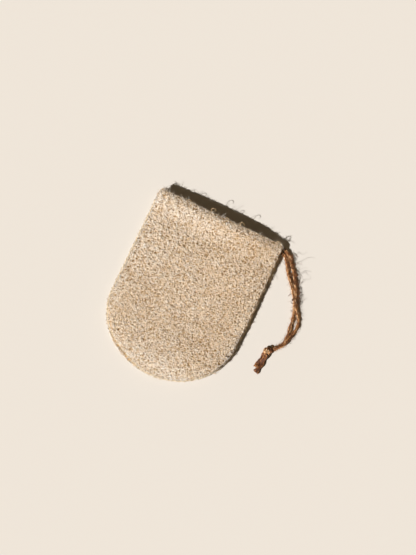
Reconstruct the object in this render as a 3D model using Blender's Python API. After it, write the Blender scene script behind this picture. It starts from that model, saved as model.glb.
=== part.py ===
# A natural loofah bath mitt: two panels of pressed loofah, sewn together along the sides and the
# rounded end and open at the straight end, with a doubled jute string caught in the seam at one corner.
# Metres, +Z up. X runs across the mitt, +Y points out of its mouth, and it lies on the plane Z = 0.
import math
import random

import bmesh
import bpy
from mathutils import Matrix, Vector

# Plan of the mitt, as the back panel's outline
LENGTH = 0.200
MOUTH_HALF_WIDTH = 0.0785
BODY_HALF_WIDTH = 0.0795
END_LENGTH = 0.070
MOUTH_CORNER_RADIUS = 0.005
STRAIGHT_LENGTH = LENGTH - END_LENGTH
MOUTH_Y = LENGTH / 2
END_CENTRE_Y = MOUTH_Y - STRAIGHT_LENGTH

# The front panel is cut a little smaller, most of all at the left of the rounded end, where the back
# panel shows beyond it as a ledge
LEDGE = 0.0018
WIDE_LEDGE = 0.0050
WIDE_LEDGE_ANGLE = math.radians(236)
WIDE_LEDGE_SPREAD = math.radians(26)
BACK_MOUTH_SETBACK = 0.0015

# Heights, from the surface that the mitt lies on
PANEL_THICKNESS = 0.0030
SEAM_GAP = 0.0005
RIM_SLOPE = 0.0018
RIM_SHARE = 0.5
BODY_GAP = 0.0045
BULGE_REACH = 0.034
MOUTH_GAP_RISE = 0.0033
BULGE_POWER = 2.6
MOUTH_CREST = 0.006
MOUTH_SLOPE_END = 0.031
MOUTH_LIP_DROP = 0.0012
RIGHT_SIDE_RISE = 0.15
FALL_START_X = 0.020
FALL_LENGTH = 0.066
HOLLOW_DEPTH = 0.0003
HOLLOW_FROM_MOUTH = 0.037
HOLLOW_HALF_LENGTH = 0.010
LEFT_CORNER_CURL = 0.0032
RIGHT_CORNER_CURL = 0.0006
CURL_START_X = 0.050
CURL_LENGTH = 0.042
REST_RADIUS = 0.014
FLAT_RADIUS = 0.020

# The raised net of fibres, drawn larger than life: a random mesh whose cells are sunk between its strands
FRONT_CELLS = (23, 29)
BACK_CELLS = (17, 22)
LINING_CELLS = (19, 23)
CELL_JITTER = 0.27
SPLIT_SHARE = 0.34
MERGE_SHARE = 0.24
STRAND_WIDTH = 0.0015
FRONT_CELL_DEPTH = 0.0011
BACK_CELL_DEPTH = 0.0009
RAGGED_EDGE = 0.0003
HEIGHT_JITTER = 0.0004

# The jute string and the sewing thread
STRING_RADIUS = 0.0016
STRING_STEP = 4 * STRING_RADIUS
STRING_GAP = 0.0003
SEAT_CLEARANCE = 0.0004
SEAT_POINTS = 4
THREAD_RADIUS = 0.0005
THREAD_OFFSET = 0.0011
THREAD_STEP = 0.007
THREAD_START = 0.008
THREAD_STOP_BEFORE_STRING = 0.017

# Routes of the string's two runs, from inside the seam to the knot, and of the two ends that hang out
# of it, by eye from the photograph. They lie on the surface, the outer run over the inner one where
# the two cross above and below the eye.
INNER_RUN = [
    (0.0665, 0.0905, 0.0037),
    (0.0735, 0.0913, 0.0037),
    (0.0792, 0.0912, 0.0033),
    (0.0838, 0.0893, 0.0025),
    (0.0866, 0.0866, 0.0018),
    (0.0901, 0.0820, 0.0017),
    (0.0933, 0.0764, 0.0017),
    (0.0972, 0.0712, 0.0017),
    (0.1018, 0.0660, 0.0017),
    (0.1060, 0.0612, 0.0017),
    (0.1096, 0.0563, 0.0017),
    (0.1130, 0.0511, 0.0017),
    (0.1160, 0.0457, 0.0017),
    (0.1186, 0.0403, 0.0017),
    (0.1206, 0.0355, 0.0017),
    (0.1222, 0.0303, 0.0017),
    (0.1236, 0.0228, 0.0017),
    (0.1247, 0.0153, 0.0017),
    (0.1255, 0.0085, 0.0017),
    (0.1256, 0.0040, 0.0017),
    (0.1250, -0.0002, 0.0017),
    (0.1234, -0.0042, 0.0017),
    (0.1208, -0.0080, 0.0017),
    (0.1180, -0.0110, 0.0019),
    (0.1157, -0.0131, 0.0022),
]
OUTER_RUN = [
    (0.0665, 0.0950, 0.0038),
    (0.0740, 0.0957, 0.0039),
    (0.0805, 0.0956, 0.0037),
    (0.0862, 0.0932, 0.0029),
    (0.0905, 0.0890, 0.0020),
    (0.0951, 0.0837, 0.0017),
    (0.0994, 0.0788, 0.0017),
    (0.1030, 0.0740, 0.0017),
    (0.1059, 0.0695, 0.0017),
    (0.1086, 0.0650, 0.0021),
    (0.1111, 0.0604, 0.0033),
    (0.1134, 0.0556, 0.0045),
    (0.1156, 0.0508, 0.0051),
    (0.1177, 0.0460, 0.0052),
    (0.1202, 0.0414, 0.0051),
    (0.1236, 0.0372, 0.0043),
    (0.1270, 0.0330, 0.0026),
    (0.1297, 0.0283, 0.0017),
    (0.1311, 0.0225, 0.0017),
    (0.1306, 0.0153, 0.0019),
    (0.1290, 0.0088, 0.0034),
    (0.1273, 0.0040, 0.0050),
    (0.1262, -0.0002, 0.0053),
    (0.1246, -0.0040, 0.0054),
    (0.1221, -0.0076, 0.0055),
    (0.1195, -0.0106, 0.0056),
    (0.1171, -0.0130, 0.0057),
]
INNER_END = [
    (0.1107, -0.0212, 0.0027),
    (0.1100, -0.0262, 0.0019),
    (0.1092, -0.0325, 0.0017),
    (0.1079, -0.0372, 0.0017),
    (0.1074, -0.0412, 0.0017),
]
OUTER_END = [
    (0.1122, -0.0214, 0.0042),
    (0.1125, -0.0262, 0.0027),
    (0.1124, -0.0325, 0.0017),
    (0.1118, -0.0380, 0.0017),
    (0.1109, -0.0430, 0.0017),
    (0.1100, -0.0468, 0.0017),
]

# The knot that both runs end in
KNOT_LENGTH = 0.0098
KNOT_WIDTH = 0.0068
KNOT_DEPTH = 0.0074
WRAP_RADIUS = 0.0024
WRAP_STRING_RADIUS = 0.00135
WRAP_TURNS = 1.7
WRAP_RISE = 0.0048


def clear_scene():
    for old in list(bpy.data.objects):
        bpy.data.objects.remove(old)


def new_collection(name, hidden=False):
    made = bpy.data.collections.new(name)
    bpy.context.scene.collection.children.link(made)
    made.hide_render = hidden
    return made


def new_material(name, colour, roughness):
    made = bpy.data.materials.new(name)
    made.use_nodes = True
    surface = made.node_tree.nodes["Principled BSDF"]
    surface.inputs["Base Color"].default_value = (*colour, 1.0)
    surface.inputs["Roughness"].default_value = roughness
    surface.inputs["Metallic"].default_value = 0.0
    return made


def smooth(value):
    t = min(max(value, 0.0), 1.0)
    return t * t * (3 - 2 * t)


def half_width(from_mouth):
    """Half the mitt's width at a distance from its mouth, with the mouth's corners rounded off."""
    half = MOUTH_HALF_WIDTH + (BODY_HALF_WIDTH - MOUTH_HALF_WIDTH) * smooth(from_mouth / STRAIGHT_LENGTH)
    if from_mouth < MOUTH_CORNER_RADIUS:
        rise = MOUTH_CORNER_RADIUS - from_mouth
        half -= MOUTH_CORNER_RADIUS - math.sqrt(MOUTH_CORNER_RADIUS**2 - rise**2)
    return half


def spaced(share, cells, size):
    """Moves a grid line so that the outermost cells are as wide as the rim's slope. Shares run from
    -1 to 1 over the given number of cells and the given size."""
    rim = 2 * RIM_SLOPE / size
    inner = 1 - 2 / cells
    if abs(share) > inner:
        return math.copysign(1 - (1 - abs(share)) * cells / 2 * rim, share)
    return share / inner * (1 - rim)


def plan_point(across, along):
    """A grid position as a place on the mitt: across from -1 to 1, along from -1 at the mouth to 1 at
    the tip. The straight part has straight rows, and the rounded end a square mapped to a half disc."""
    from_mouth = (along + 1) / 2 * LENGTH
    if from_mouth <= STRAIGHT_LENGTH:
        return across * half_width(from_mouth), MOUTH_Y - from_mouth
    t = (from_mouth - STRAIGHT_LENGTH) / END_LENGTH
    x = across * BODY_HALF_WIDTH * math.sqrt(1 - t * t / 2)
    y = END_CENTRE_Y - END_LENGTH * t * math.sqrt(1 - across * across / 2)
    return x, y


def end_radius(x, y):
    """How far out a place lies in the rounded end: 0 at its centre, 1 on the outline."""
    return math.hypot(x / BODY_HALF_WIDTH, (y - END_CENTRE_Y) / END_LENGTH)


def seam_distance(x, y):
    """Distance in from the sewn outline, along the sides or the rounded end."""
    if y >= END_CENTRE_Y:
        return max(half_width(max(MOUTH_Y - y, MOUTH_CORNER_RADIUS)) - abs(x), 0.0)
    out = end_radius(x, y)
    if out < 1e-6:
        return END_LENGTH
    return max((1 - out) * math.hypot(x, y - END_CENTRE_Y) / out, 0.0)


def ledge_at(x, y):
    """How far the front panel's edge is set in from the back panel's."""
    if y >= END_CENTRE_Y:
        return LEDGE
    angle = math.atan2(y - END_CENTRE_Y, x) % (2 * math.pi)
    away = (angle - WIDE_LEDGE_ANGLE) / WIDE_LEDGE_SPREAD
    return LEDGE + (WIDE_LEDGE - LEDGE) * math.exp(-away * away)


def front_plan(x, y):
    """A place inside the back panel's outline moved to the front panel's smaller outline."""
    side_kept = 1 - LEDGE / BODY_HALF_WIDTH
    if y >= END_CENTRE_Y:
        return x * side_kept, y
    rim_kept = 1 - ledge_at(x, y) / END_LENGTH
    share = end_radius(x, y) ** 4
    kept = rim_kept * share + side_kept * (1 - share)
    return x * kept, END_CENTRE_Y + (y - END_CENTRE_Y) * kept


def back_plan(x, y):
    """The back panel's mouth edge lies a little behind the front panel's."""
    return x, y - BACK_MOUTH_SETBACK * smooth((y - END_CENTRE_Y) / STRAIGHT_LENGTH)


def corner_curl(x, y):
    """Both panels lift a little off the surface at the mouth's corners, as dry loofah curls."""
    most = LEFT_CORNER_CURL if x < 0 else RIGHT_CORNER_CURL
    side = smooth((abs(x) - CURL_START_X) / (MOUTH_HALF_WIDTH - CURL_START_X))
    back = max(1 - (MOUTH_Y - y) / CURL_LENGTH, 0.0)
    return most * side * back * back


def mouth_rise(x, y):
    """The front panel arches up to the open mouth and turns down a little at its lip."""
    from_mouth = MOUTH_Y - y
    slope = 1 - smooth((from_mouth - MOUTH_CREST) / (MOUTH_SLOPE_END - MOUTH_CREST))
    lip = max(1 - from_mouth / MOUTH_CREST, 0.0) ** 2
    side = 1 - (1 - RIGHT_SIDE_RISE) * smooth((x - FALL_START_X) / FALL_LENGTH)
    hollow = math.exp(-(((from_mouth - HOLLOW_FROM_MOUTH) / HOLLOW_HALF_LENGTH) ** 2))
    return MOUTH_GAP_RISE * slope * side - MOUTH_LIP_DROP * lip - HOLLOW_DEPTH * hollow


def pocket_gap(x, y):
    """Height of the space between the two panels."""
    inward = min(seam_distance(x, y) / BULGE_REACH, 1.0)
    bulge = 1 - (1 - inward) ** BULGE_POWER
    return max(bulge * (BODY_GAP + mouth_rise(x, y)), 0.0)


def front_lining(x, y):
    return corner_curl(x, y) + PANEL_THICKNESS + SEAM_GAP + pocket_gap(x, y)


def back_lining(x, y):
    return corner_curl(x, y) + PANEL_THICKNESS


def inner_faces(bm):
    return [face for face in bm.faces if not any(vert.is_boundary for vert in face.verts)]


def netted_sheet(bm, cells, plan, height, draw):
    """Adds a grid laid out in plan and lifted to its height, and makes its cells irregular: some are
    split across, and some are merged with a neighbour."""
    verts = bmesh.ops.create_grid(bm, x_segments=cells[0], y_segments=cells[1], size=1)["verts"]
    jitter = [CELL_JITTER * 2 / count for count in cells]
    for vert in verts:
        on_rim = vert.is_boundary
        across = spaced(vert.co.x, cells[0], 2 * BODY_HALF_WIDTH)
        along = spaced(-vert.co.y, cells[1], LENGTH)
        if abs(vert.co.x) < 1 - 3 / cells[0] and abs(vert.co.y) < 1 - 3 / cells[1]:
            across += draw.uniform(-jitter[0], jitter[0])
            along += draw.uniform(-jitter[1], jitter[1])
        x, y = plan_point(across, along)
        if on_rim:
            x += draw.uniform(-RAGGED_EDGE, RAGGED_EDGE)
            y += draw.uniform(-RAGGED_EDGE, RAGGED_EDGE)
        x, y = plan(x, y)
        vert.co = (x, y, height(x, y, on_rim, draw.uniform(0, HEIGHT_JITTER)))

    inner = inner_faces(bm)
    split = [face for face in inner if draw.random() < SPLIT_SHARE]
    whole = [face for face in inner if face not in set(split)]
    bmesh.ops.triangulate(bm, faces=split)
    merged, removed = set(), []
    for face in whole:
        if face in merged or draw.random() > 2 * MERGE_SHARE:
            continue
        for edge in face.edges:
            other = next(near for near in edge.link_faces if near is not face)
            if other in whole and other not in merged:
                merged.update((face, other))
                removed.append(edge)
                break
    bmesh.ops.dissolve_edges(bm, edges=removed, use_verts=False)


def sink_cells(bm, depth):
    """Sinks every cell inside the rim between raised strands, but not those of the flat resting spot."""
    cells = inner_faces(bm)
    if depth > 0:
        cells = [face for face in cells if face.calc_center_median().xy.length > REST_RADIUS]
    thickness = STRAND_WIDTH / 2
    bmesh.ops.inset_individual(bm, faces=cells, thickness=thickness, depth=depth, use_even_offset=True)


def panel(name, cells, plan, outer, lining, depth, seed, home, material):
    """A closed panel: a netted outer face and a plain lining, with their rims bridged. The depth is
    negative where the cells sink down, and positive where they sink up into the panel."""
    bm = bmesh.new()
    netted_sheet(bm, cells, plan, outer, random.Random(seed))
    sink_cells(bm, depth)
    across, along = LINING_CELLS
    for vert in bmesh.ops.create_grid(bm, x_segments=across, y_segments=along, size=1)["verts"]:
        x, y = plan(*plan_point(vert.co.x, -vert.co.y))
        vert.co = (x, y, lining(x, y))
    bmesh.ops.bridge_loops(bm, edges=[edge for edge in bm.edges if edge.is_boundary])
    bmesh.ops.recalc_face_normals(bm, faces=bm.faces)

    mesh = bpy.data.meshes.new(name)
    bm.to_mesh(mesh)
    bm.free()
    mesh.materials.append(material)
    solid = bpy.data.objects.new(name, mesh)
    home.objects.link(solid)
    return solid


def front_outer(x, y, on_rim, unevenness):
    if on_rim:
        return front_lining(x, y) + PANEL_THICKNESS * RIM_SHARE
    return front_lining(x, y) + PANEL_THICKNESS + unevenness


def back_outer(x, y, on_rim, unevenness):
    if on_rim:
        return corner_curl(x, y) + PANEL_THICKNESS * (1 - RIM_SHARE)
    return corner_curl(x, y) + (unevenness if math.hypot(x, y) > FLAT_RADIUS else 0)


def smooth_route(points, step):
    """Points about a step apart on a Catmull-Rom curve through the given points."""
    places = [Vector(point) for point in points]
    ends = [2 * places[0] - places[1], *places, 2 * places[-1] - places[-2]]
    fine = []
    for a, b, c, d in zip(ends, ends[1:], ends[2:], ends[3:]):
        for k in range(12):
            t = k / 12
            bend = (2 * a - 5 * b + 4 * c - d) * t * t + (3 * b - a - 3 * c + d) * t**3
            fine.append(0.5 * (2 * b + (c - a) * t + bend))
    fine.append(places[-1])
    length = sum((q - p).length for p, q in zip(fine, fine[1:]))
    spacing = length / max(round(length / step), 1)
    route, walked = [fine[0]], 0.0
    for p, q in zip(fine, fine[1:]):
        gap = (q - p).length
        while walked + gap > spacing * len(route) and spacing * (len(route) + 0.5) < length:
            route.append(p.lerp(q, (spacing * len(route) - walked) / gap))
        walked += gap
    return [*route, fine[-1]]


def tube(name, route, radius, home, resolution=2):
    """A round tube along a route, as a curve with filled caps."""
    curve = bpy.data.curves.new(name, "CURVE")
    curve.dimensions = "3D"
    curve.bevel_depth = radius
    curve.bevel_resolution = resolution
    curve.use_fill_caps = True
    spline = curve.splines.new("POLY")
    spline.points.add(len(route) - 1)
    for point, place in zip(spline.points, route):
        point.co = (*place, 1)
    made = bpy.data.objects.new(name, curve)
    home.objects.link(made)
    return made


def as_mesh(made, home):
    """The same shape as a closed mesh object, in place of the curve."""
    mesh = bpy.data.meshes.new_from_object(made.evaluated_get(bpy.context.evaluated_depsgraph_get()))
    bm = bmesh.new()
    bm.from_mesh(mesh)
    bmesh.ops.remove_doubles(bm, verts=bm.verts, dist=1e-6)
    bmesh.ops.recalc_face_normals(bm, faces=bm.faces)
    bm.to_mesh(mesh)
    bm.free()
    name, place = made.name, made.matrix_world.copy()
    bpy.data.objects.remove(made)
    solid = bpy.data.objects.new(name, mesh)
    solid.matrix_world = place
    home.objects.link(solid)
    return solid


def seat_cutter(name, route, cutters):
    """The space that a run of the string takes up between the panels."""
    back = (route[0] - route[1]).normalized() * SEAT_CLEARANCE
    route = [route[0] + back, *route[1:SEAT_POINTS]]
    seat = as_mesh(tube(name, route, STRING_RADIUS + SEAT_CLEARANCE, cutters), cutters)
    seat.hide_render = True
    seat.display_type = "WIRE"
    return seat


def cut_away(solid, cutters):
    for cutter in cutters:
        cut = solid.modifiers.new(cutter.name, "BOOLEAN")
        cut.operation = "DIFFERENCE"
        cut.solver = "EXACT"
        cut.object = cutter


def thread_route():
    """The sewing thread lies on the back panel's ledge, along the front panel's edge."""
    steps = 60
    shares = [-1 + 2 * k / steps for k in range(steps + 1)]
    outline = [(-1, share) for share in shares]
    outline += [(share, 1) for share in shares[1:-1]]
    outline += [(1, share) for share in reversed(shares)]
    route = []
    for across, along in outline:
        x, y = front_plan(*plan_point(across, along))
        if MOUTH_Y - y < (THREAD_START if x < 0 else THREAD_STOP_BEFORE_STRING):
            continue
        core = Vector((0, max(y, END_CENTRE_Y)))
        spot = Vector((x, y)) + (Vector((x, y)) - core).normalized() * THREAD_OFFSET
        height = back_lining(spot.x, spot.y) + SEAM_GAP + THREAD_RADIUS
        route.append((spot.x, spot.y, height))
    return smooth_route(route, THREAD_STEP)


def knot(runs, home, material):
    """The knot: a wrap round a core, fused with the two cut ends that run on through it."""
    parts = new_collection("knot_parts")
    ends = [run[-1] for run in runs]
    ways = [(run[-1] - run[-2]).normalized() for run in runs]
    along = (ways[0] + ways[1]).normalized()
    centre = (ends[0] + ends[1]) / 2 + along * (KNOT_LENGTH / 2 + 2 * STRING_GAP)
    place = Matrix.Translation(centre) @ along.to_track_quat("Z", "Y").to_matrix().to_4x4()

    core_mesh = bpy.data.meshes.new("knot_core")
    bm = bmesh.new()
    bmesh.ops.create_uvsphere(bm, u_segments=14, v_segments=8, radius=0.5)
    bmesh.ops.scale(bm, vec=(KNOT_WIDTH, KNOT_DEPTH, KNOT_LENGTH), verts=bm.verts)
    bmesh.ops.transform(bm, matrix=place, verts=bm.verts)
    bm.to_mesh(core_mesh)
    bm.free()
    core = bpy.data.objects.new("knot_core", core_mesh)
    home.objects.link(core)

    steps = 22
    coil = []
    for k in range(steps + 1):
        angle = 2 * math.pi * WRAP_TURNS * k / steps
        turned = Vector((WRAP_RADIUS * math.cos(angle), WRAP_RADIUS * math.sin(angle), 0))
        coil.append(place @ (turned + Vector((0, 0, WRAP_RISE * (k / steps - 0.5)))))
    as_mesh(tube("knot_wrap", coil, WRAP_STRING_RADIUS, parts), parts)
    for name, end, way, tail in zip(("inner_end", "outer_end"), ends, ways, (INNER_END, OUTER_END)):
        inside = end + way * STRING_RADIUS
        middle = centre.lerp(Vector(tail[0]), 0.4)
        route = [end + way * STRING_GAP, *smooth_route([inside, middle, *tail], STRING_STEP / 2)]
        as_mesh(tube(name, route, STRING_RADIUS, parts), parts)

    join = core.modifiers.new("join", "BOOLEAN")
    join.operation = "UNION"
    join.solver = "EXACT"
    join.operand_type = "COLLECTION"
    join.collection = parts
    fused = bpy.data.meshes.new_from_object(core.evaluated_get(bpy.context.evaluated_depsgraph_get()))
    fused.materials.clear()
    fused.materials.append(material)
    home.objects.link(bpy.data.objects.new("string_knot", fused))
    for old in [core, *parts.objects]:
        bpy.data.objects.remove(old)
    bpy.data.collections.remove(parts)


def main():
    clear_scene()
    home = new_collection("loofah_mitt")
    cutters = new_collection("cutters", hidden=True)
    loofah = new_material("dried_loofah", (0.68, 0.52, 0.33), 0.85)
    jute = new_material("jute_string", (0.27, 0.13, 0.055), 0.9)
    cotton = new_material("cotton_thread", (0.62, 0.52, 0.38), 0.8)

    runs = [smooth_route(points, STRING_STEP) for points in (INNER_RUN, OUTER_RUN)]
    seats = [seat_cutter(f"seat_{k}", run, cutters) for k, run in enumerate(runs)]
    front = panel(
        "loofah_front", FRONT_CELLS, front_plan, front_outer, front_lining, -FRONT_CELL_DEPTH, 11, home, loofah
    )
    back = panel(
        "loofah_back", BACK_CELLS, back_plan, back_outer, back_lining, BACK_CELL_DEPTH, 23, home, loofah
    )
    for solid in (front, back):
        cut_away(solid, seats)

    for name, run in zip(("string_inner_run", "string_outer_run"), runs):
        tube(name, run, STRING_RADIUS, home).data.materials.append(jute)
    knot(runs, home, jute)
    thread = tube("seam_thread", thread_route(), THREAD_RADIUS, home, resolution=1)
    thread.data.materials.append(cotton)


main()
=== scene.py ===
import math

import bmesh
import bpy
import numpy as np
from mathutils import Matrix, Vector
from mathutils.bvhtree import BVHTree


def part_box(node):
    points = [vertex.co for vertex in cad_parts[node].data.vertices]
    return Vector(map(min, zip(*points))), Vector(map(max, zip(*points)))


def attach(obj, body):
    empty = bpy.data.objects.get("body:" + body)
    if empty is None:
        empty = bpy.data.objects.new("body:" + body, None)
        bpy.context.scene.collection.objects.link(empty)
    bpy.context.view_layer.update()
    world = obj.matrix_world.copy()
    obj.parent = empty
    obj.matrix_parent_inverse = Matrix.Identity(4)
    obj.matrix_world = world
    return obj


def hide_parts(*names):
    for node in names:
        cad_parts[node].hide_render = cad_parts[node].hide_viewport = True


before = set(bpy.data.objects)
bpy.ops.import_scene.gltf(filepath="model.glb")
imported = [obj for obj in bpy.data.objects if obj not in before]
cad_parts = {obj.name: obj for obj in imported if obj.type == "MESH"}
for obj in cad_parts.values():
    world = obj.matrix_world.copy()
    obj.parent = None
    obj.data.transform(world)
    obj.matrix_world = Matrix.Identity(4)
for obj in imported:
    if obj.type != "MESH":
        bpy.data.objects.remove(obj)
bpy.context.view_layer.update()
print("frame loaded")

tau = 2 * math.pi

# The mitt's plan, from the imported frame's own boxes. +Y points out of the mouth.
backLow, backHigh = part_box("loofah_back")
frontLow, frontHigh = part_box("loofah_front")
mitt = dict(
    bodyHalf=0.0795,  # half the width where the rounded end begins
    mouthHalf=0.0785,  # and at the mouth
    cornerRadius=0.0035,
    endLength=0.070,  # length of the rounded end
    mouthY=0.0990,
    tipY=-0.100,
    trim=0.0008,  # the fibres' outline lies inside the solids', except along the right side
    ledge=0.0018,  # how far the front layer's edge is set in from the back layer's
    wideLedge=0.0050,  # at the lower left of the rounded end
    wideLedgeAngle=math.radians(236),
    wideLedgeSpread=math.radians(26),
    backSetback=0.0015,  # the back layer's mouth edge lies behind the front layer's
    layer=0.0030,  # thickness of one pressed layer
    curlLeft=0.0032,  # how far the mouth's corners lift
    curlRight=0.0006,
    ragged=0.0004,  # how far the cut edges wander
    curlStart=0.050,
    curlLength=0.042,
)
endCentreY = mitt["tipY"] + mitt["endLength"]
straight = mitt["mouthY"] - endCentreY


def smooth(value):
    t = np.clip(value, 0, 1)
    return t * t * (3 - 2 * t)


def halfWidth(fromMouth):
    half = mitt["mouthHalf"] + (mitt["bodyHalf"] - mitt["mouthHalf"]) * smooth(fromMouth / straight)
    rise = np.clip(mitt["cornerRadius"] - fromMouth, 0, mitt["cornerRadius"])
    return half - mitt["cornerRadius"] + np.sqrt(mitt["cornerRadius"] ** 2 - rise**2)


def ledgeAt(x, y):
    angle = np.mod(np.arctan2(y - endCentreY, x), tau)
    away = (angle - mitt["wideLedgeAngle"]) / mitt["wideLedgeSpread"]
    wide = (mitt["wideLedge"] - mitt["ledge"]) * np.exp(-away * away)
    return mitt["ledge"] + np.where(y < endCentreY, wide, 0)


def awayFromRight(x, y):
    # 1 everywhere but along the straight right side, where it is 0
    return 1 - smooth(x / 0.05) * smooth((y - endCentreY) / 0.03)


def trimAt(x, y):
    return mitt["trim"] * (1.6 * awayFromRight(x, y) - 0.6)


def ragged(x, y):
    return mitt["ragged"] * (np.sin(570 * x + 1.3) * np.cos(690 * y) + 0.8 * np.sin(1460 * y + 900 * x + 0.4))


def insideOutline(x, y, ledge, setback):
    # distance in from a layer's outline, negative outside it
    side = halfWidth(np.clip(mitt["mouthY"] - y, 0, None)) - np.abs(x) - ledge
    side = np.minimum(side, mitt["mouthY"] - setback - y)
    out = np.hypot(x / mitt["bodyHalf"], (y - endCentreY) / mitt["endLength"])
    end = (1 - out) * np.hypot(x, y - endCentreY) / np.maximum(out, 1e-6) - ledge
    return np.where(y >= endCentreY, side, end) + ragged(x, y)


def insideBack(x, y):
    return insideOutline(x, y, trimAt(x, y), mitt["backSetback"])


def insideFront(x, y):
    return insideOutline(x, y, ledgeAt(x, y) + trimAt(x, y), 0)


def curl(x, y):
    most = np.where(x < 0, mitt["curlLeft"], mitt["curlRight"])
    side = smooth((np.abs(x) - mitt["curlStart"]) / (mitt["mouthHalf"] - mitt["curlStart"]))
    back = np.clip(1 - (mitt["mouthY"] - y) / mitt["curlLength"], 0, 1)
    return most * side * back * back


# Heights of the layers' faces, read from the frame's solids on a fine grid and smoothed
field = dict(cell=0.001, margin=0.004, ridgeReach=4, blur=5)
fieldLow = np.array([backLow.x - field["margin"], backLow.y - field["margin"]])
fieldShape = tuple(
    int(math.ceil((high - low + 2 * field["margin"]) / field["cell"])) + 1
    for low, high in ((backLow.x, backHigh.x), (backLow.y, max(backHigh.y, frontHigh.y)))
)


def spread(values, known):
    # fills unknown places from their nearest known neighbours, ring by ring
    values, known = values.copy(), known.copy()
    while not known.all():
        total, count = np.zeros_like(values), np.zeros_like(values)
        for dx, dy in ((1, 0), (-1, 0), (0, 1), (0, -1)):
            near = np.roll(np.where(known, values, 0), (dx, dy), (0, 1))
            seen = np.roll(known, (dx, dy), (0, 1)).astype(float)
            total += near
            count += seen
        new = ~known & (count > 0)
        values[new] = total[new] / count[new]
        known |= new
    return values


def heightField(node, down, ridges):
    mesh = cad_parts[node].data
    tree = BVHTree.FromPolygons([v.co.copy() for v in mesh.vertices], [tuple(p.vertices) for p in mesh.polygons])
    way = Vector((0, 0, -1 if down else 1))
    values, known = np.zeros(fieldShape), np.zeros(fieldShape, bool)
    for i in range(fieldShape[0]):
        for j in range(fieldShape[1]):
            x, y = fieldLow + field["cell"] * np.array((i, j))
            hit = tree.ray_cast(Vector((x, y, 0.05 if down else -0.05)), way)[0]
            if hit is not None:
                values[i, j], known[i, j] = hit.z, True
    values = spread(values, known)
    if ridges:
        pick = np.maximum if down else np.minimum
        for _ in range(field["ridgeReach"]):
            for axis in (0, 1):
                values = pick(values, pick(np.roll(values, 1, axis), np.roll(values, -1, axis)))
    for _ in range(field["blur"] ** 2):
        padded = np.pad(values, 1, mode="edge")
        values = (padded[:-2, 1:-1] + padded[2:, 1:-1] + padded[1:-1, :-2] + padded[1:-1, 2:] + 4 * values) / 8
    return values


def heightAt(values, x, y):
    u = np.clip((x - fieldLow[0]) / field["cell"], 0, fieldShape[0] - 1.001)
    v = np.clip((y - fieldLow[1]) / field["cell"], 0, fieldShape[1] - 1.001)
    i, j = u.astype(int), v.astype(int)
    fu, fv = u - i, v - j
    low = values[i, j] * (1 - fu) + values[i + 1, j] * fu
    high = values[i, j + 1] * (1 - fu) + values[i + 1, j + 1] * fu
    return low * (1 - fv) + high * fv


topOfFront = heightField("loofah_front", True, True)
liningOfFront = heightField("loofah_front", False, False)
print("heights read from the frame")


# The front's lip: a soft ridge behind the mouth that faces the light and rolls down to the edge
lip = dict(height=0.0019, start=0.070, top=0.0905)
# and the mouth's middle arches up
arch = dict(height=0.0023, middle=-0.006, half=0.058, leastLeft=0.0009, leastRight=-0.0004, start=0.058)


def lipAt(y):
    up = smooth((y - lip["start"]) / (lip["top"] - lip["start"]))
    return lip["height"] * np.where(y < lip["top"], up, smooth((mitt["mouthY"] - y) / (mitt["mouthY"] - lip["top"])))


# the rounded end swells a little before it falls to the seam
swell = dict(height=0.0023, start=-0.030, top=-0.076)


def swellAt(y):
    up = smooth((swell["start"] - y) / (swell["start"] - swell["top"]))
    return swell["height"] * np.where(y > swell["top"], up, smooth((y - mitt["tipY"]) / (swell["top"] - mitt["tipY"])))


def archAt(x, y):
    least = np.where(x < 0, arch["leastLeft"], arch["leastRight"])
    most = np.maximum(arch["height"] * (1 - ((x - arch["middle"]) / arch["half"]) ** 2), least)
    return most * smooth((y - arch["start"]) / (mitt["mouthY"] - arch["start"]))


# Materials. Colours are sRGB hex, scales are from real millimetres.
def hexColour(text):
    values = [int(text[i : i + 2], 16) / 255 for i in (1, 3, 5)]
    return tuple(v / 12.92 if v <= 0.04045 else ((v + 0.055) / 1.055) ** 2.4 for v in values) + (1.0,)


def addNode(tree, kind, settings=None, links=None):
    # one node with its own values, its socket values by name or number, and links into its sockets
    node = tree.nodes.new(kind)
    for key, value in (settings or {}).items():
        if isinstance(key, str) and hasattr(node, key):
            setattr(node, key, value)
        else:
            node.inputs[key].default_value = value
    for key, socket in (links or {}).items():
        tree.links.new(socket, node.inputs[key])
    return node


def addRamp(tree, factor, stops):
    node = addNode(tree, "ShaderNodeValToRGB", links={"Fac": factor})
    ramp = node.color_ramp
    while len(ramp.elements) < len(stops):
        ramp.elements.new(0.5)
    for element, (place, colour) in zip(ramp.elements, stops):
        element.position = place
        element.color = hexColour(colour)
    return node


def newMaterial(name):
    material = bpy.data.materials.new(name)
    material.use_nodes = True
    tree = material.node_tree
    return material, tree, tree.nodes["Principled BSDF"]


def perMetre(millimetres):
    return 1000 / millimetres


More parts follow.
